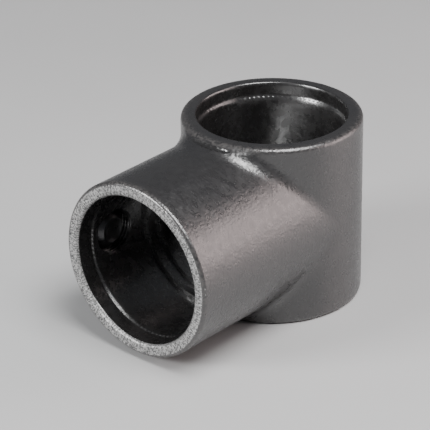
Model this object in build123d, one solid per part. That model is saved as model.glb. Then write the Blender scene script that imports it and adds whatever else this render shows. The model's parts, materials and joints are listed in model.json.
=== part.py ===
from build123d import *
from math import radians, sqrt, tan
import os

# Tube clamp tee fitting for a 48.3 mm tube: one cast body and the two grub screws that grip the tubes.
# Frame: the two bore axes cross at the origin, +Z runs up the through sleeve, the side socket opens
# towards -Y, and both grub screws stand on the -X side. All lengths are in millimetres.

# The tube and the bores that take it
TUBE_D = 48.3
TUBE_SLACK = 0.45  # radial gap between the tube and either bore
EASED_STEP = 0.4  # each bore is this much larger in radius near its mouth
WALL = 5.35  # the sleeve's wall

# Through sleeve
SLEEVE_EASED_DEPTH = 5.0
SLEEVE_RIM_ROUND = 1.7
RIM_ABOVE_SOCKET = 0.1  # from the socket's crown up to where the rim's rounding starts
SLEEVE_RIM_CHAMFER = 0.3

# Side socket: its depths are counted from the mouth
SOCKET_REACH = 67.2  # from the sleeve's axis to the mouth
SOCKET_INSET = 0.15  # at the sleeve's axis, how much slimmer in radius than the sleeve
SOCKET_DRAFT = 0.15  # degrees, narrower towards the mouth
SOCKET_EASED_DEPTH = 6.5
STOP_DEPTH = 31.0  # the tube butts on a ledge here
STOP_LEDGE = 1.4  # radial width of that ledge
NECK_DEPTH = 35.5
NECK_LEDGE = 1.2
MOUTH_RIM_ROUND = 1.4
MOUTH_CHAMFER = 0.8

# Cast fillets
JUNCTION_FILLET = 5.0
BOSS_FILLET = 2.5

# Raised bosses that carry the screws
BOSS_FACE_D = 21.5
BOSS_RISE = 4.4  # above the sleeve's wall
BOSS_DRAFT = 15.0  # degrees
BOSS_CHAMFER = 0.7  # at the screw hole's outer mouth
SOCKET_SCREW_DEPTH = 16.5  # the socket screw's axis, from the mouth

# Grub screws for a 3/8 inch pipe thread, plain at its minor diameter
THREAD_D = 14.95
THREAD_GAP = 0.05  # radial gap between screw and hole
SCREW_LENGTH = 11.0
SCREW_CHAMFER = 0.8
TIP_SETBACK = 0.3  # at rest the tip stands this far short of the bore
TIP_LAND = 0.3  # width of the cup point's ring
CUP_D = 8.0
CUP_ANGLE = 118.0
KEY_ACROSS_FLATS = 8.0
KEY_DEPTH = 5.0
KEY_CHAMFER = 0.4

# What follows from them
BORE_R = TUBE_D / 2 + TUBE_SLACK
EASED_R = BORE_R + EASED_STEP
SLEEVE_R = BORE_R + WALL
SOCKET_R = SLEEVE_R - SOCKET_INSET
SLEEVE_LENGTH = 2 * (SOCKET_R + RIM_ABOVE_SOCKET + SLEEVE_RIM_ROUND)
MOUTH_R = SOCKET_R - SOCKET_REACH * tan(radians(SOCKET_DRAFT))
STOP_R = BORE_R - STOP_LEDGE
NECK_R = STOP_R - NECK_LEDGE
BOSS_FACE_X = -(SLEEVE_R + BOSS_RISE)
HOLE_R = THREAD_D / 2 + THREAD_GAP / 2
SCREW_R = THREAD_D / 2 - THREAD_GAP / 2
TIP_X = -(BORE_R + TIP_SETBACK)
SOCKET_SCREW_Y = SOCKET_SCREW_DEPTH - SOCKET_REACH
SLEEVE_SCREW_Y = 0.0


def turned(outline, origin, direction, seam=None):
    """A solid of revolution from (radius, height) points, with its axis from origin along direction."""
    profile = make_face(Plane.XZ * Polyline(*outline, close=True))
    return Plane(origin=origin, x_dir=seam, z_dir=direction) * revolve(profile, Axis.Z)


def joined(host, addition, fillet_radius):
    """Two castings grown into one, with a fillet along the line where they meet."""
    both = host + addition
    return fillet(new_edges(host, addition, combined=both), fillet_radius)


def sleeve_outside():
    body = Cylinder(SLEEVE_R, SLEEVE_LENGTH)
    return fillet(body.edges().filter_by(GeomType.CIRCLE), SLEEVE_RIM_ROUND)


def socket_outside():
    towards_mouth = Plane(origin=(0, 0, 0), z_dir=(0, -1, 0))
    low = (Align.CENTER, Align.CENTER, Align.MIN)
    body = towards_mouth * Cone(SOCKET_R, MOUTH_R, SOCKET_REACH, align=low)
    return fillet(body.edges().sort_by(Axis.Y)[0], MOUTH_RIM_ROUND)


def boss(y):
    """A drafted round boss that grows out of the wall on the -X side."""
    height = -BOSS_FACE_X - BORE_R
    root_r = BOSS_FACE_D / 2 + height * tan(radians(BOSS_DRAFT))
    outwards = Plane(origin=(-BORE_R, y, 0), z_dir=(-1, 0, 0))
    low = (Align.CENTER, Align.CENTER, Align.MIN)
    return outwards * Cone(root_r, BOSS_FACE_D / 2, height, align=low)


def sleeve_bore():
    """The through bore, eased and chamfered at both ends, its seam in the wall opposite the socket."""
    end = SLEEVE_LENGTH / 2
    eased = end - SLEEVE_EASED_DEPTH
    half = [
        (BORE_R, eased - EASED_STEP),
        (EASED_R, eased),
        (EASED_R, end - SLEEVE_RIM_CHAMFER),
        (EASED_R + SLEEVE_RIM_CHAMFER, end),
        (0, end),
    ]
    other_half = [(r, -z) for r, z in reversed(half)]
    return turned(other_half + half, (0, 0, 0), (0, 0, 1), seam=(0, 1, 0))


def socket_bore():
    """The blind bore's steps from the sleeve's axis out: neck, ledge, tube bore, eased and chamfered mouth."""
    ledge = SOCKET_REACH - NECK_DEPTH
    stop = SOCKET_REACH - STOP_DEPTH
    eased = SOCKET_REACH - SOCKET_EASED_DEPTH
    steps = [
        (0, 0),
        (NECK_R, 0),
        (NECK_R, ledge),
        (STOP_R, ledge),
        (STOP_R, stop),
        (BORE_R, stop),
        (BORE_R, eased - EASED_STEP),
        (EASED_R, eased),
        (EASED_R, SOCKET_REACH - MOUTH_CHAMFER),
        (EASED_R + MOUTH_CHAMFER, SOCKET_REACH),
        (0, SOCKET_REACH),
    ]
    return turned(steps, (0, 0, 0), (0, -1, 0))


def screw_hole(y):
    """A hole from the casting's middle out through the boss, chamfered at the boss face."""
    face = -BOSS_FACE_X
    outline = [(0, 0), (HOLE_R, 0), (HOLE_R, face - BOSS_CHAMFER), (HOLE_R + BOSS_CHAMFER, face), (0, face)]
    return turned(outline, (0, y, 0), (-1, 0, 0))


def tee_body():
    outside = joined(sleeve_outside(), socket_outside(), JUNCTION_FILLET)
    for y in (SOCKET_SCREW_Y, SLEEVE_SCREW_Y):
        outside = joined(outside, boss(y), BOSS_FILLET)
    body = outside - sleeve_bore() - socket_bore()
    for y in (SOCKET_SCREW_Y, SLEEVE_SCREW_Y):
        body -= screw_hole(y)
    return body


def grub_screw(y):
    """A cup-pointed grub screw with a hexagon socket, its tip towards the bore."""
    key_r = KEY_ACROSS_FLATS / sqrt(3)
    cup_depth = CUP_D / 2 / tan(radians(CUP_ANGLE / 2))
    ring_r = CUP_D / 2 + TIP_LAND
    outline = [
        (0, cup_depth),
        (CUP_D / 2, 0),
        (ring_r, 0),
        (SCREW_R, SCREW_R - ring_r),
        (SCREW_R, SCREW_LENGTH - SCREW_CHAMFER),
        (SCREW_R - SCREW_CHAMFER, SCREW_LENGTH),
        (0, SCREW_LENGTH),
    ]
    screw = turned(outline, (TIP_X, y, 0), (-1, 0, 0))
    outer_end = Plane(origin=(TIP_X - SCREW_LENGTH, y, 0), z_dir=(1, 0, 0))
    key = extrude(outer_end * RegularPolygon(key_r, 6), KEY_DEPTH)
    entry_r = key_r + KEY_CHAMFER
    entry = turned([(0, 0), (entry_r, 0), (0, entry_r)], (TIP_X - SCREW_LENGTH, y, 0), (1, 0, 0))
    return screw - key - entry


def main():
    os.makedirs("parts", exist_ok=True)
    parts = {
        "tee_body": tee_body(),
        "socket_grub_screw": grub_screw(SOCKET_SCREW_Y),
        "sleeve_grub_screw": grub_screw(SLEEVE_SCREW_Y),
    }
    for node, shape in parts.items():
        export_step(shape, f"parts/{node}.step")


main()
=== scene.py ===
import json
from math import cos, pi, radians, sin, sqrt, tan

import bmesh
import bpy
import numpy as np
from mathutils import Matrix, Vector


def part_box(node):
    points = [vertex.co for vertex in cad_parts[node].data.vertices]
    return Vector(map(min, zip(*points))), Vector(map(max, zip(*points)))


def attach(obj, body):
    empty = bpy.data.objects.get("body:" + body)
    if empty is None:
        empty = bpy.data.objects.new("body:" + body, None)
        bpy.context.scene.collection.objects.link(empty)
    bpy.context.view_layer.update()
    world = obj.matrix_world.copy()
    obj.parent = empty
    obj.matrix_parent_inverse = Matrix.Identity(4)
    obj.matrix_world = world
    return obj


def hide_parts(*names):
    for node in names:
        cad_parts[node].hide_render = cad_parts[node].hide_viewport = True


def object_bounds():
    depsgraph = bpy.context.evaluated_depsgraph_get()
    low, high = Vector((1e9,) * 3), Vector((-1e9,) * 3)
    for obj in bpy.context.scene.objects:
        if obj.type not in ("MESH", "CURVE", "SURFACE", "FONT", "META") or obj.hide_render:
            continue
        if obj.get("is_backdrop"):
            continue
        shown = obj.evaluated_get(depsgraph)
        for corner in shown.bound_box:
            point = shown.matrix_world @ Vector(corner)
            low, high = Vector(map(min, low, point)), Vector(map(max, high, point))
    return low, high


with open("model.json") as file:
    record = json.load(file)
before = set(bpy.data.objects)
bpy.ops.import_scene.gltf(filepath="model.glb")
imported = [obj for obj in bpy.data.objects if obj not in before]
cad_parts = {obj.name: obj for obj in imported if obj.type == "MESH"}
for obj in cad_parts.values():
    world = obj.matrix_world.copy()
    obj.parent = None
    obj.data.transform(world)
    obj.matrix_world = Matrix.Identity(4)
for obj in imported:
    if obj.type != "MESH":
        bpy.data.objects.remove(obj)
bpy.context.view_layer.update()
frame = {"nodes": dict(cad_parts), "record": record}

# Shapes are worked out in millimetres and turned into metres when a mesh is made.
MM = 0.001

# Sizes that the frame gives
body_low, body_high = (np.array(corner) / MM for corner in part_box("tee_body"))
SLEEVE_R = body_high[0]
SLEEVE_END = body_high[2]
SOCKET_END = -body_low[1]
BOSS_FACE = -body_low[0]
BORE_R = next(m["dims"]["r_mm"] for m in frame["record"]["mounts"] if m["name"] == "sleeve_bore")
SCREWS = ("socket_grub_screw", "sleeve_grub_screw")
SCREW_Y = [(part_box(node)[0][1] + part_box(node)[1][1]) / 2 / MM for node in SCREWS]
SCREW_R = (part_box(SCREWS[0])[1][2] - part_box(SCREWS[0])[0][2]) / 2 / MM
SCREW_OUTER, SCREW_TIP = (corner[0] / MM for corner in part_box(SCREWS[0]))

# The casting's other sizes
EASED_R = BORE_R + 0.4
STOP_R = BORE_R - 1.4
NECK_R = STOP_R - 1.2
SOCKET_R = SLEEVE_R - 0.15
SOCKET_DRAFT = radians(0.15)
SLEEVE_RIM_ROUND = 1.7
SLEEVE_RIM_CHAMFER = 0.3
MOUTH_RIM_ROUND = 1.4
MOUTH_CHAMFER = 0.8
BOSS_FACE_R = 10.75
BOSS_DRAFT = radians(15)
BOSS_FILLET = 2.5
MODEL_FILLET = 5.0
CROWN_FILLET = 4.4
FLANK_FILLET = 8.0

# How the mesh is refined and laid on the true surfaces
FINEST_EDGE = 1.3
SLIVER = 0.004
ON_SKIN = 0.06
ON_FILLET = 0.7
ON_WALL = 0.05
ON_END = 0.02
LAYING_ROUNDS = 5
SHARP_ON_CASTING = radians(24)
SHARP_ON_SCREW = radians(28)
TINY = 1e-9

# 3/8 inch pipe thread
PITCH = 1.337
THREAD_MID_R = 7.903
THREAD_HALF_DEPTH = 0.428
THREAD_SHARP_HALF_DEPTH = 0.642
THREAD_GAP = 0.025
ROUND_STEPS = 72
PITCH_STEPS = 12

# The screws' ends
SCREW_CHAMFER = 0.8
CUP_R = 4.0
CUP_LAND = 0.3
CUP_DEPTH = 2.4
CUP_EDGE = 0.1  # depth of the ring just inside the cup's edge
CUP_EDGE_SHARE = 0.96  # that ring's radius, as a share of the cup's
KEY_ACROSS_FLATS = 8.0
KEY_DEPTH = 5.0
KEY_CHAMFER = 0.4
KEY_ENTRY_STEPS = (0.15, 0.3, 0.45, 0.7)  # depths of the rings down the chamfer
KEY_FLOOR_SHARE = 0.9  # how much of the hexagon its flat floor reaches in to
KEY_DISH = 0.9  # how far the floor's middle is dished

X, Y, Z = np.eye(3)
FAR = 1000.0


# ---------------------------------------------------------------- surfaces of the casting

def around(points, axis, origin):
    """Each point's distance from an axis, the unit vector out from the axis, and its height along it."""
    from_origin = points - origin
    height = from_origin @ axis
    out = from_origin - height[:, None] * axis
    radius = np.linalg.norm(out, axis=1)
    return radius, out / np.maximum(radius, TINY)[:, None], height


def round_bar(points, axis, radius, draft, end, rounding, both_ends):
    """Signed distance to a round bar with a rounded end, and the direction straight out of it."""
    rho, out, height = around(points, axis, np.zeros(3))
    along = np.where(both_ends & (height < 0), -1.0, 1.0)
    reach = height * along
    side = (rho - radius + reach * tan(draft)) * cos(draft) + rounding
    top = reach - end + rounding
    corner = np.hypot(np.maximum(side, 0), np.maximum(top, 0))
    inner = np.minimum(np.maximum(side, top), 0)
    side_share = np.where(corner > 0, np.maximum(side, 0) / np.maximum(corner, TINY), side > top)
    top_share = np.where(corner > 0, np.maximum(top, 0) / np.maximum(corner, TINY), top >= side)
    way = side_share[:, None] * out + (top_share * along)[:, None] * axis
    return inner + corner - rounding, way / np.maximum(np.linalg.norm(way, axis=1), TINY)[:, None]


def boss(points, y):
    """Signed distance to a drafted boss on the -X side, and the direction straight out of it."""
    rho, out, height = around(points, -X, np.array((0, y, 0)))
    side = (rho - BOSS_FACE_R - (BOSS_FACE - height) * tan(BOSS_DRAFT)) * cos(BOSS_DRAFT)
    face = height - BOSS_FACE
    side_way = cos(BOSS_DRAFT) * out - sin(BOSS_DRAFT) * X
    nearer_side = side > face
    distance = np.where(height < BORE_R, FAR, np.where(nearer_side, side, face))
    return distance, np.where(nearer_side[:, None], side_way, -X)


def grown_together(first, second, fillet):
    """Two shapes joined with a rolling-ball fillet: distance, direction, and where the fillet is."""
    a, a_way = first
    b, b_way = second
    across = np.sum(a_way * b_way, axis=1)
    squared_sine = np.maximum(1 - across**2, 1e-6)
    a_in, b_in = fillet - a, fillet - b
    a_part = (a_in - across * b_in) / squared_sine
    b_part = (b_in - across * a_in) / squared_sine
    filled = (a_part > 0) & (b_part > 0) & (squared_sine > 1e-5)
    from_centre = a_part[:, None] * a_way + b_part[:, None] * b_way
    length = np.maximum(np.linalg.norm(from_centre, axis=1), TINY)
    nearer = np.where((a < b)[:, None], a_way, b_way)
    distance = np.where(filled, fillet - length, np.minimum(a, b))
    return distance, np.where(filled[:, None], from_centre / length[:, None], nearer), filled


def casting_outside(points, crown_fillet, flank_fillet):
    """Signed distance to the casting's outside, the direction out of it, and where it is a fillet."""
    sleeve = round_bar(points, Z, SLEEVE_R, 0, SLEEVE_END, SLEEVE_RIM_ROUND, True)
    socket = round_bar(points, -Y, SOCKET_R, SOCKET_DRAFT, SOCKET_END, MOUTH_RIM_ROUND, False)
    flank_share = np.minimum(np.abs(points[:, 0]) / SLEEVE_R, 1)
    fillet = crown_fillet + (flank_fillet - crown_fillet) * flank_share
    behind = points[:, 1] > 0
    socket = np.where(behind, FAR, socket[0]), socket[1]
    distance, way, filled = grown_together(sleeve, socket, fillet)
    for y in SCREW_Y:
        distance, way, boss_filled = grown_together((distance, way), boss(points, y), BOSS_FILLET)
        filled = filled | boss_filled
    return distance, way, filled


# Round walls that the bores and the screw holes leave: axis, point on it, radius
NO_SHIFT = np.zeros(3)
ROUND_WALLS = [(Z, NO_SHIFT, r) for r in (BORE_R, EASED_R, EASED_R + SLEEVE_RIM_CHAMFER)]
ROUND_WALLS += [(Y, NO_SHIFT, r) for r in (NECK_R, STOP_R, BORE_R, EASED_R, EASED_R + MOUTH_CHAMFER)]
ROUND_WALLS += [(X, np.array((0, y, 0)), SCREW_R + 2 * THREAD_GAP) for y in SCREW_Y]


def onto_surfaces(points, crown_fillet, flank_fillet):
    """Moves points that lie near the casting's true surfaces onto them; edges stay edges."""
    points = points.copy()
    distance, _, filled = casting_outside(points, MODEL_FILLET, MODEL_FILLET)
    outside = np.abs(distance) < np.where(filled, ON_FILLET, ON_SKIN)
    flat_end = np.abs(np.abs(points[:, 2]) - SLEEVE_END) < ON_END
    flat_end |= np.abs(points[:, 1] + SOCKET_END) < ON_END
    flat_end |= np.abs(points[:, 0] + BOSS_FACE) < ON_END
    on_wall = []
    for axis, origin, radius in ROUND_WALLS:
        rho = around(points, axis, origin)[0]
        on_wall.append((np.abs(rho - radius) < ON_WALL) & (~outside | flat_end))
    for _ in range(LAYING_ROUNDS):
        distance, way, _ = casting_outside(points[outside], crown_fillet, flank_fillet)
        points[outside] -= distance[:, None] * way
        for (axis, origin, radius), members in zip(ROUND_WALLS, on_wall):
            rho, out, _ = around(points[members], axis, origin)
            points[members] -= (rho - radius)[:, None] * out
    return points, outside


# ---------------------------------------------------------------- mesh helpers

def vertex_array(bm):
    return np.array([v.co for v in bm.verts]) / MM


def set_vertices(bm, points):
    for vertex, point in zip(bm.verts, points * MM):
        vertex.co = point


def add_piece(name, mesh, body, slot_name, *replaced):
    piece = bpy.data.objects.new(name, mesh)
    bpy.context.collection.objects.link(piece)
    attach(piece, body)
    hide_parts(*replaced)
    return piece


def smooth_with_sharp_edges(mesh, sharp_angle):
    mesh.polygons.foreach_set("use_smooth", [True] * len(mesh.polygons))
    mesh.set_sharp_from_angle(angle=sharp_angle)


def lathe_mesh(name, rings, y):
    """A closed mesh about the line parallel to X at y, from rings of (x, radius for each angle).

    The first and last rings have no radius: they are the points that close the two ends."""
    angles = np.arange(ROUND_STEPS) * 2 * pi / ROUND_STEPS
    points = [(rings[0][0], y, 0)]
    for x, radii in rings[1:-1]:
        radii = np.broadcast_to(radii, ROUND_STEPS)
        points += [(x, y + r * cos(a), r * sin(a)) for r, a in zip(radii, angles)]
    points.append((rings[-1][0], y, 0))
    last = len(points) - 1
    ring_count = len(rings) - 2
    faces = []
    for step in range(ROUND_STEPS):
        following = (step + 1) % ROUND_STEPS
        faces.append((0, 1 + following, 1 + step))
        for ring in range(ring_count - 1):
            near, far = 1 + ring * ROUND_STEPS, 1 + (ring + 1) * ROUND_STEPS
            faces.append((near + step, near + following, far + following, far + step))
        edge = 1 + (ring_count - 1) * ROUND_STEPS
        faces.append((last, edge + step, edge + following))
    mesh = bpy.data.meshes.new(name)
    mesh.from_pydata([Vector(p) * MM for p in points], [], faces)
    bm = bmesh.new()
    bm.from_mesh(mesh)
    bmesh.ops.recalc_face_normals(bm, faces=bm.faces)
    bm.to_mesh(mesh)
    bm.free()
    return mesh


def thread_radii(x, lowest):
    """The right-hand thread's radius at each angle round the X axis, at one place along it."""
    turn = np.arange(ROUND_STEPS) / ROUND_STEPS
    phase = (x / PITCH - turn) % 1
    ridge = 1 - 4 * np.abs(phase - 0.5)
    return THREAD_MID_R + np.clip(THREAD_SHARP_HALF_DEPTH * ridge, lowest, THREAD_HALF_DEPTH)


# ---------------------------------------------------------------- the casting

def tap(y):
    """The shape that cuts the thread of one screw hole, from inside the bore to beyond the boss."""
    step = PITCH / PITCH_STEPS
    start, end = -BOSS_FACE - 1.0, -BORE_R + 1.5
    places = np.arange(start, end, step)
    rings = [(start - step, 0)]
    rings += [(x, thread_radii(x, -0.55) + THREAD_GAP) for x in places]
    rings.append((places[-1] + step, 0))
    return lathe_mesh("tap", rings, y)


def cut(bm_mesh, cutters):
    """The mesh less the cutters, by exact booleans."""
    host = bpy.data.objects.new("host", bm_mesh)
    bpy.context.collection.objects.link(host)
    tools = []
    for mesh in cutters:
        tool = bpy.data.objects.new("tool", mesh)
        bpy.context.collection.objects.link(tool)
        modifier = host.modifiers.new("cut", "BOOLEAN")
        modifier.operation = "DIFFERENCE"
        modifier.solver = "EXACT"
        modifier.object = tool
        tools.append(tool)
    result = bpy.data.meshes.new_from_object(host.evaluated_get(bpy.context.evaluated_depsgraph_get()))
    for item in (host, *tools):
        bpy.data.objects.remove(item)
    return result


def casting_mesh():
    bm = bmesh.new()
    bm.from_mesh(frame["nodes"]["tee_body"].data)
    bmesh.ops.remove_doubles(bm, verts=bm.verts, dist=0.001 * MM)
    welded = bpy.data.meshes.new("welded")
    bm.to_mesh(welded)
    bm.free()
    threaded = cut(welded, [tap(y) for y in SCREW_Y])
    bm = bmesh.new()
    bm.from_mesh(threaded)
    for limit in (8, 4, 2, 1):
        long_edges = [e for e in bm.edges if e.calc_length() > limit * FINEST_EDGE * MM]
        bmesh.ops.subdivide_edges(bm, edges=long_edges, cuts=1)
        bmesh.ops.triangulate(bm, faces=[f for f in bm.faces if len(f.verts) > 3])
        set_vertices(bm, onto_surfaces(vertex_array(bm), MODEL_FILLET, MODEL_FILLET)[0])
    bmesh.ops.dissolve_degenerate(bm, dist=SLIVER * MM, edges=bm.edges)
    bmesh.ops.triangulate(bm, faces=[f for f in bm.faces if len(f.verts) > 3])
    points, outside = onto_surfaces(vertex_array(bm), CROWN_FILLET, FLANK_FILLET)
    set_vertices(bm, points)
    mesh = bpy.data.meshes.new("tee_casting")
    bm.to_mesh(mesh)
    bm.free()
    smooth_with_sharp_edges(mesh, SHARP_ON_CASTING)
    store_rim_wear(mesh, points)
    paint_casting(mesh, points, outside)
    return mesh


def store_rim_wear(mesh, points):
    """How near each vertex is to a rim's outer edge, where the coating is worn thin."""
    sleeve_rho, _, sleeve_height = around(points, Z, NO_SHIFT)
    socket_rho, _, socket_height = around(points, -Y, NO_SHIFT)
    sleeve_gap = np.hypot(sleeve_rho - SLEEVE_R + 0.5, np.abs(sleeve_height) - SLEEVE_END + 0.5)
    socket_gap = np.hypot(socket_rho - SOCKET_R + 0.5, socket_height - SOCKET_END + 0.4)
    wear = np.exp(-((np.minimum(sleeve_gap, socket_gap) / 1.1) ** 2))
    mesh.attributes.new("rim_wear", "FLOAT", "POINT").data.foreach_set("value", wear)


def paint_casting(mesh, points, outside):
    """Cast skin outside, glossier coating in the bores, bare ground metal on the mouth's ring."""
    for material in (cast_skin(), bore_coating(), ground_ring()):
        mesh.materials.append(material)
    corners = np.array([polygon.vertices[:3] for polygon in mesh.polygons])
    middle = points[corners].mean(axis=1)
    from_axis = np.hypot(middle[:, 0], middle[:, 2])
    chamfer = (middle[:, 1] < MOUTH_CHAMFER - SOCKET_END) & (from_axis > EASED_R + ON_END)
    in_skin = outside[corners].all(axis=1)
    at_mouth = np.abs(middle[:, 1] + SOCKET_END) < 0.04
    index = np.where(at_mouth | (chamfer & ~in_skin), 2, np.where(in_skin, 0, 1))
    mesh.polygons.foreach_set("material_index", index)


# ---------------------------------------------------------------- the grub screws

def hexagon_radii(across_flats):
    """The hexagon's radius at each of the lathe's angles."""
    angles = np.arange(ROUND_STEPS) * 2 * pi / ROUND_STEPS
    return across_flats / 2 / np.cos((angles + pi / 6) % (pi / 3) - pi / 6)


def screw_mesh(name, y):
    """A cup-point screw with a true thread, drawn from the cup to the bottom of its hexagon socket."""
    step = PITCH / PITCH_STEPS
    cone_r = CUP_R + CUP_LAND
    flat_end_r = SCREW_R - SCREW_CHAMFER
    rings = [
        (SCREW_TIP - CUP_DEPTH, 0),
        (SCREW_TIP - CUP_EDGE, CUP_R * CUP_EDGE_SHARE),
        (SCREW_TIP, CUP_R),
        (SCREW_TIP, cone_r),
    ]
    for x in np.arange(SCREW_TIP - step, SCREW_OUTER, -step):
        tip_cone = cone_r + SCREW_TIP - x
        end_cone = flat_end_r + x - SCREW_OUTER
        radii = thread_radii(x, -THREAD_HALF_DEPTH) - THREAD_GAP
        rings.append((x, np.minimum(radii, min(tip_cone, end_cone))))
    key = hexagon_radii(KEY_ACROSS_FLATS)
    entry = np.maximum(key, KEY_ACROSS_FLATS / sqrt(3) + KEY_CHAMFER)
    rings.append((SCREW_OUTER, flat_end_r))
    rings.append((SCREW_OUTER, entry))
    for depth in KEY_ENTRY_STEPS:
        rings.append((SCREW_OUTER + depth, np.maximum(key, entry - depth)))
    rings.append((SCREW_OUTER + KEY_DEPTH, key))
    rings.append((SCREW_OUTER + KEY_DEPTH, key * KEY_FLOOR_SHARE))
    rings.append((SCREW_OUTER + KEY_DEPTH + KEY_DISH, 0))
    mesh = lathe_mesh(name, rings, y)
    smooth_with_sharp_edges(mesh, SHARP_ON_SCREW)
    mesh.materials.append(blackened_steel())
    return mesh


# ---------------------------------------------------------------- materials

class Nodes:
    """Short calls for building one material's nodes."""

    def __init__(self, name):
        self.material = bpy.data.materials.new(name)
        self.material.use_nodes = True
        self.tree = self.material.node_tree
        self.surface = self.tree.nodes["Principled BSDF"]
        self.place = self.node("ShaderNodeTexCoord").outputs["Object"]

    def node(self, kind, **settings):
        node = self.tree.nodes.new(kind)
        for key, value in settings.items():
            setattr(node, key, value)
        return node

    def feed(self, socket, value):
        if isinstance(value, bpy.types.NodeSocket):
            self.tree.links.new(value, socket)
        else:
            socket.default_value = value

    def set(self, **values):
        for key, value in values.items():
            self.feed(self.surface.inputs[key.replace("_", " ")], value)

    def math(self, operation, first, second=0.0):
        node = self.node("ShaderNodeMath", operation=operation)
        self.feed(node.inputs[0], first)
        self.feed(node.inputs[1], second)
        return node.outputs[0]

    def noise(self, size, detail=2.0, roughness=0.5, place=None):
        """Noise whose lumps are about this many metres across."""
        node = self.node("ShaderNodeTexNoise")
        self.feed(node.inputs["Vector"], place or self.place)
        node.inputs["Scale"].default_value = 1 / size
        node.inputs["Detail"].default_value = detail
        node.inputs["Roughness"].default_value = roughness
        return node.outputs["Fac"]

    def specks(self, size, radius):
        """Round specks, 1 at their middles, one in each cell of this many metres."""
        node = self.node("ShaderNodeTexVoronoi")
        self.feed(node.inputs["Vector"], self.place)
        node.inputs["Scale"].default_value = 1 / size
        return self.between(node.outputs["Distance"], radius, 0, 0, 1)

    def between(self, value, low, high, new_low, new_high):
        node = self.node("ShaderNodeMapRange")
        for index, item in enumerate((value, low, high, new_low, new_high)):
            self.feed(node.inputs[index], item)
        return node.outputs[0]

    def mixed(self, share, first, second):
        node = self.node("ShaderNodeMix", data_type="RGBA")
        self.feed(node.inputs[0], share)
        self.feed(node.inputs[6], first)
        self.feed(node.inputs[7], second)
        return node.outputs[2]

    def bump(self, height, distance, under=None):
        node = self.node("ShaderNodeBump")
        node.inputs["Distance"].default_value = distance
        self.feed(node.inputs["Height"], height)
        if under:
            self.feed(node.inputs["Normal"], under)
        return node.outputs[0]

    def attribute(self, name):
        return self.node("ShaderNodeAttribute", attribute_name=name).outputs["Fac"]

    def round_the_mouth(self, along_stretch):
        """Coordinates round the socket's axis, the radius shrunk so that noise turns radial."""
        split = self.node("ShaderNodeSeparateXYZ")
        self.feed(split.inputs[0], self.place)
        x, y, z = split.outputs
        radius = self.math("POWER", self.math("ADD", self.math("POWER", x, 2), self.math("POWER", z, 2)), 0.5)
        arc = self.math("MULTIPLY", self.math("ARCTAN2", z, x), (SOCKET_R - 2) * MM)
        joined = self.node("ShaderNodeCombineXYZ")
        self.feed(joined.inputs[0], arc)
        self.feed(joined.inputs[1], self.math("MULTIPLY", radius, along_stretch))
        return joined.outputs[0]


def cast_skin():
    """Satin black coating over orange-peel cast texture, thinner and brighter along the rims."""
    n = Nodes("black_coating_on_cast_skin")
    peel = n.noise(0.85 * MM, detail=3, roughness=0.55)
    lumps = n.noise(5 * MM, detail=2)
    patches = n.noise(14 * MM, detail=3)
    wear = n.math("MULTIPLY", n.attribute("rim_wear"), n.between(n.noise(0.8 * MM, 4), 0.42, 0.62, 0, 1))
    colour = n.mixed(patches, (0.010, 0.010, 0.011, 1), (0.020, 0.019, 0.019, 1))
    dust = n.math("MULTIPLY", n.specks(1.6 * MM, 0.10), 0.5)
    colour = n.mixed(dust, colour, (0.12, 0.12, 0.12, 1))
    colour = n.mixed(n.math("MULTIPLY", wear, 0.5), colour, (0.16, 0.15, 0.145, 1))
    rough = n.between(n.noise(2.2 * MM, 3), 0.3, 0.7, 0.24, 0.36)
    n.set(Base_Color=colour, Roughness=rough, IOR=1.9, Metallic=n.math("MULTIPLY", wear, 0.4))
    n.set(Normal=n.bump(peel, 0.15 * MM, n.bump(lumps, 0.14 * MM)))
    return n.material


def bore_coating():
    """The same coating, glossier and smoother, its tone varying faintly."""
    n = Nodes("black_coating_in_bores")
    peel = n.noise(1.3 * MM, detail=3)
    lumps = n.noise(6 * MM, detail=2)
    colour = n.mixed(n.noise(10 * MM), (0.006, 0.006, 0.006, 1), (0.014, 0.013, 0.013, 1))
    rough = n.between(n.noise(3 * MM, 3), 0.3, 0.7, 0.2, 0.34)
    n.set(Base_Color=colour, Roughness=rough, IOR=2.0)
    n.set(Normal=n.bump(peel, 0.06 * MM, n.bump(lumps, 0.12 * MM)))
    return n.material


def ground_ring():
    """The mouth's ring: coating over a coarsely ground face, its ridges bare and glinting."""
    n = Nodes("ground_mouth_ring")
    marks = n.noise(0.45 * MM, 4, 0.6, n.round_the_mouth(0.25))
    grain = n.noise(0.5 * MM, 3, 0.6)
    height = n.math("ADD", marks, grain)
    bare = n.between(height, 0.9, 1.12, 0, 1)
    colour = n.mixed(bare, (0.05, 0.05, 0.05, 1), (0.46, 0.455, 0.45, 1))
    n.set(Base_Color=colour, Metallic=n.math("MULTIPLY", bare, 0.9))
    n.set(Roughness=n.between(grain, 0.3, 0.7, 0.2, 0.42))
    n.set(Normal=n.bump(height, 0.16 * MM))
    return n.material


def blackened_steel():
    """Blackened steel with turning marks, its tone varying in clouds."""
    n = Nodes("blackened_screw_steel")
    grain = n.noise(0.35 * MM, 3)
    cloud = n.noise(2.5 * MM, 3)
    colour = n.mixed(cloud, (0.035, 0.035, 0.037, 1), (0.10, 0.10, 0.102, 1))
    n.set(Base_Color=colour, Metallic=0.85, Roughness=n.between(cloud, 0.3, 0.7, 0.25, 0.42))
    n.set(Normal=n.bump(grain, 0.02 * MM))
    return n.material


def pale_floor_paint():
    n = Nodes("pale_floor")
    cloud = n.noise(90 * MM, 3)
    n.set(Base_Color=n.mixed(cloud, (0.42, 0.42, 0.42, 1), (0.47, 0.47, 0.47, 1)), Roughness=0.42)
    n.set(Normal=n.bump(n.noise(1.5 * MM, 3), 0.02 * MM))
    return n.material


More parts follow.
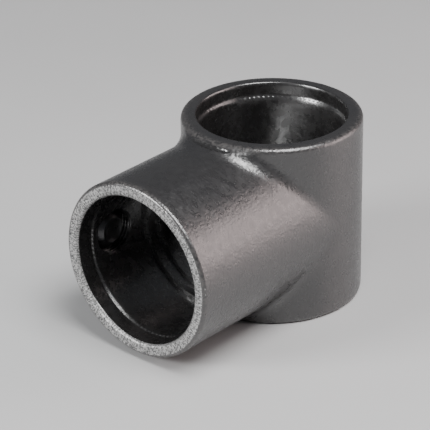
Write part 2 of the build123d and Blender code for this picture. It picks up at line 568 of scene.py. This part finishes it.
add_piece("tee_casting", casting_mesh(), "fitting", "coated_iron", "tee_body")
for node, y, body in zip(SCREWS, SCREW_Y, ("socket_screw", "sleeve_screw")):
    add_piece(node + "_threaded", screw_mesh(node + "_threaded", y), body, "screw_steel", node)


# ---------------------------------------------------------------- floor, light and camera

# The camera's azimuth, elevation and roll in degrees, and its place along its own axes in millimetres
CAMERA_ANGLES = (41.919, 26.576, -1.043)
CAMERA_LENS = 176.0
CAMERA_SENSOR = 36.0
CAMERA_SCALE = 1.0101
CAMERA_BACK = 695.31
CAMERA_SIDE = 18.918
CAMERA_TOP = 5.445
FLOOR_HALF = 3.0  # metres


def floor():
    low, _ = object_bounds()
    half = FLOOR_HALF
    mesh = bpy.data.meshes.new("floor")
    corners = [(-half, -half, low[2]), (half, -half, low[2]), (half, half, low[2]), (-half, half, low[2])]
    mesh.from_pydata(corners, [], [(0, 1, 2, 3)])
    mesh.materials.append(pale_floor_paint())
    item = bpy.data.objects.new("floor", mesh)
    bpy.context.collection.objects.link(item)
    item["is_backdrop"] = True


def area_light(name, place, aim, size, power, colour=(1, 1, 1)):
    light = bpy.data.lights.new(name, "AREA")
    light.shape = "RECTANGLE"
    light.size, light.size_y = size
    light.energy = power
    light.color = colour
    lamp = bpy.data.objects.new(name, light)
    lamp.location = place
    lamp.rotation_euler = (Vector(aim) - Vector(place)).to_track_quat("-Z", "Y").to_euler()
    bpy.context.collection.objects.link(lamp)


def camera():
    azimuth, elevation, roll = (radians(angle) for angle in CAMERA_ANGLES)
    back = Vector((sin(azimuth) * cos(elevation), -cos(azimuth) * cos(elevation), sin(elevation)))
    right = Vector((cos(azimuth), sin(azimuth), 0))
    up = back.cross(right)
    side = cos(roll) * right + sin(roll) * up
    top = -sin(roll) * right + cos(roll) * up
    data = bpy.data.cameras.new("camera")
    data.lens = CAMERA_LENS
    data.sensor_width = CAMERA_SENSOR
    item = bpy.data.objects.new("camera", data)
    place = CAMERA_SCALE * (CAMERA_BACK * back - CAMERA_SIDE * side - CAMERA_TOP * top) * MM
    turn = Matrix((side, top, back)).transposed().to_4x4()
    item.matrix_world = Matrix.Translation(place) @ turn
    bpy.context.collection.objects.link(item)
    bpy.context.scene.camera = item


floor()
area_light("back_right", (0.50, 0.42, 0.20), (0, -0.02, 0), (0.6, 0.45), 3.6, (1.0, 0.84, 0.82))
area_light("overhead", (0.38, -0.12, 0.85), (0, 0, 0), (0.5, 0.5), 15)
area_light("front_left", (-0.30, -0.75, 0.35), (0, -0.05, 0), (0.3, 0.25), 9)
world = bpy.data.worlds.new("studio")
world.use_nodes = True
world.node_tree.nodes["Background"].inputs["Color"].default_value = (0.14, 0.145, 0.155, 1)
bpy.context.scene.world = world
camera()
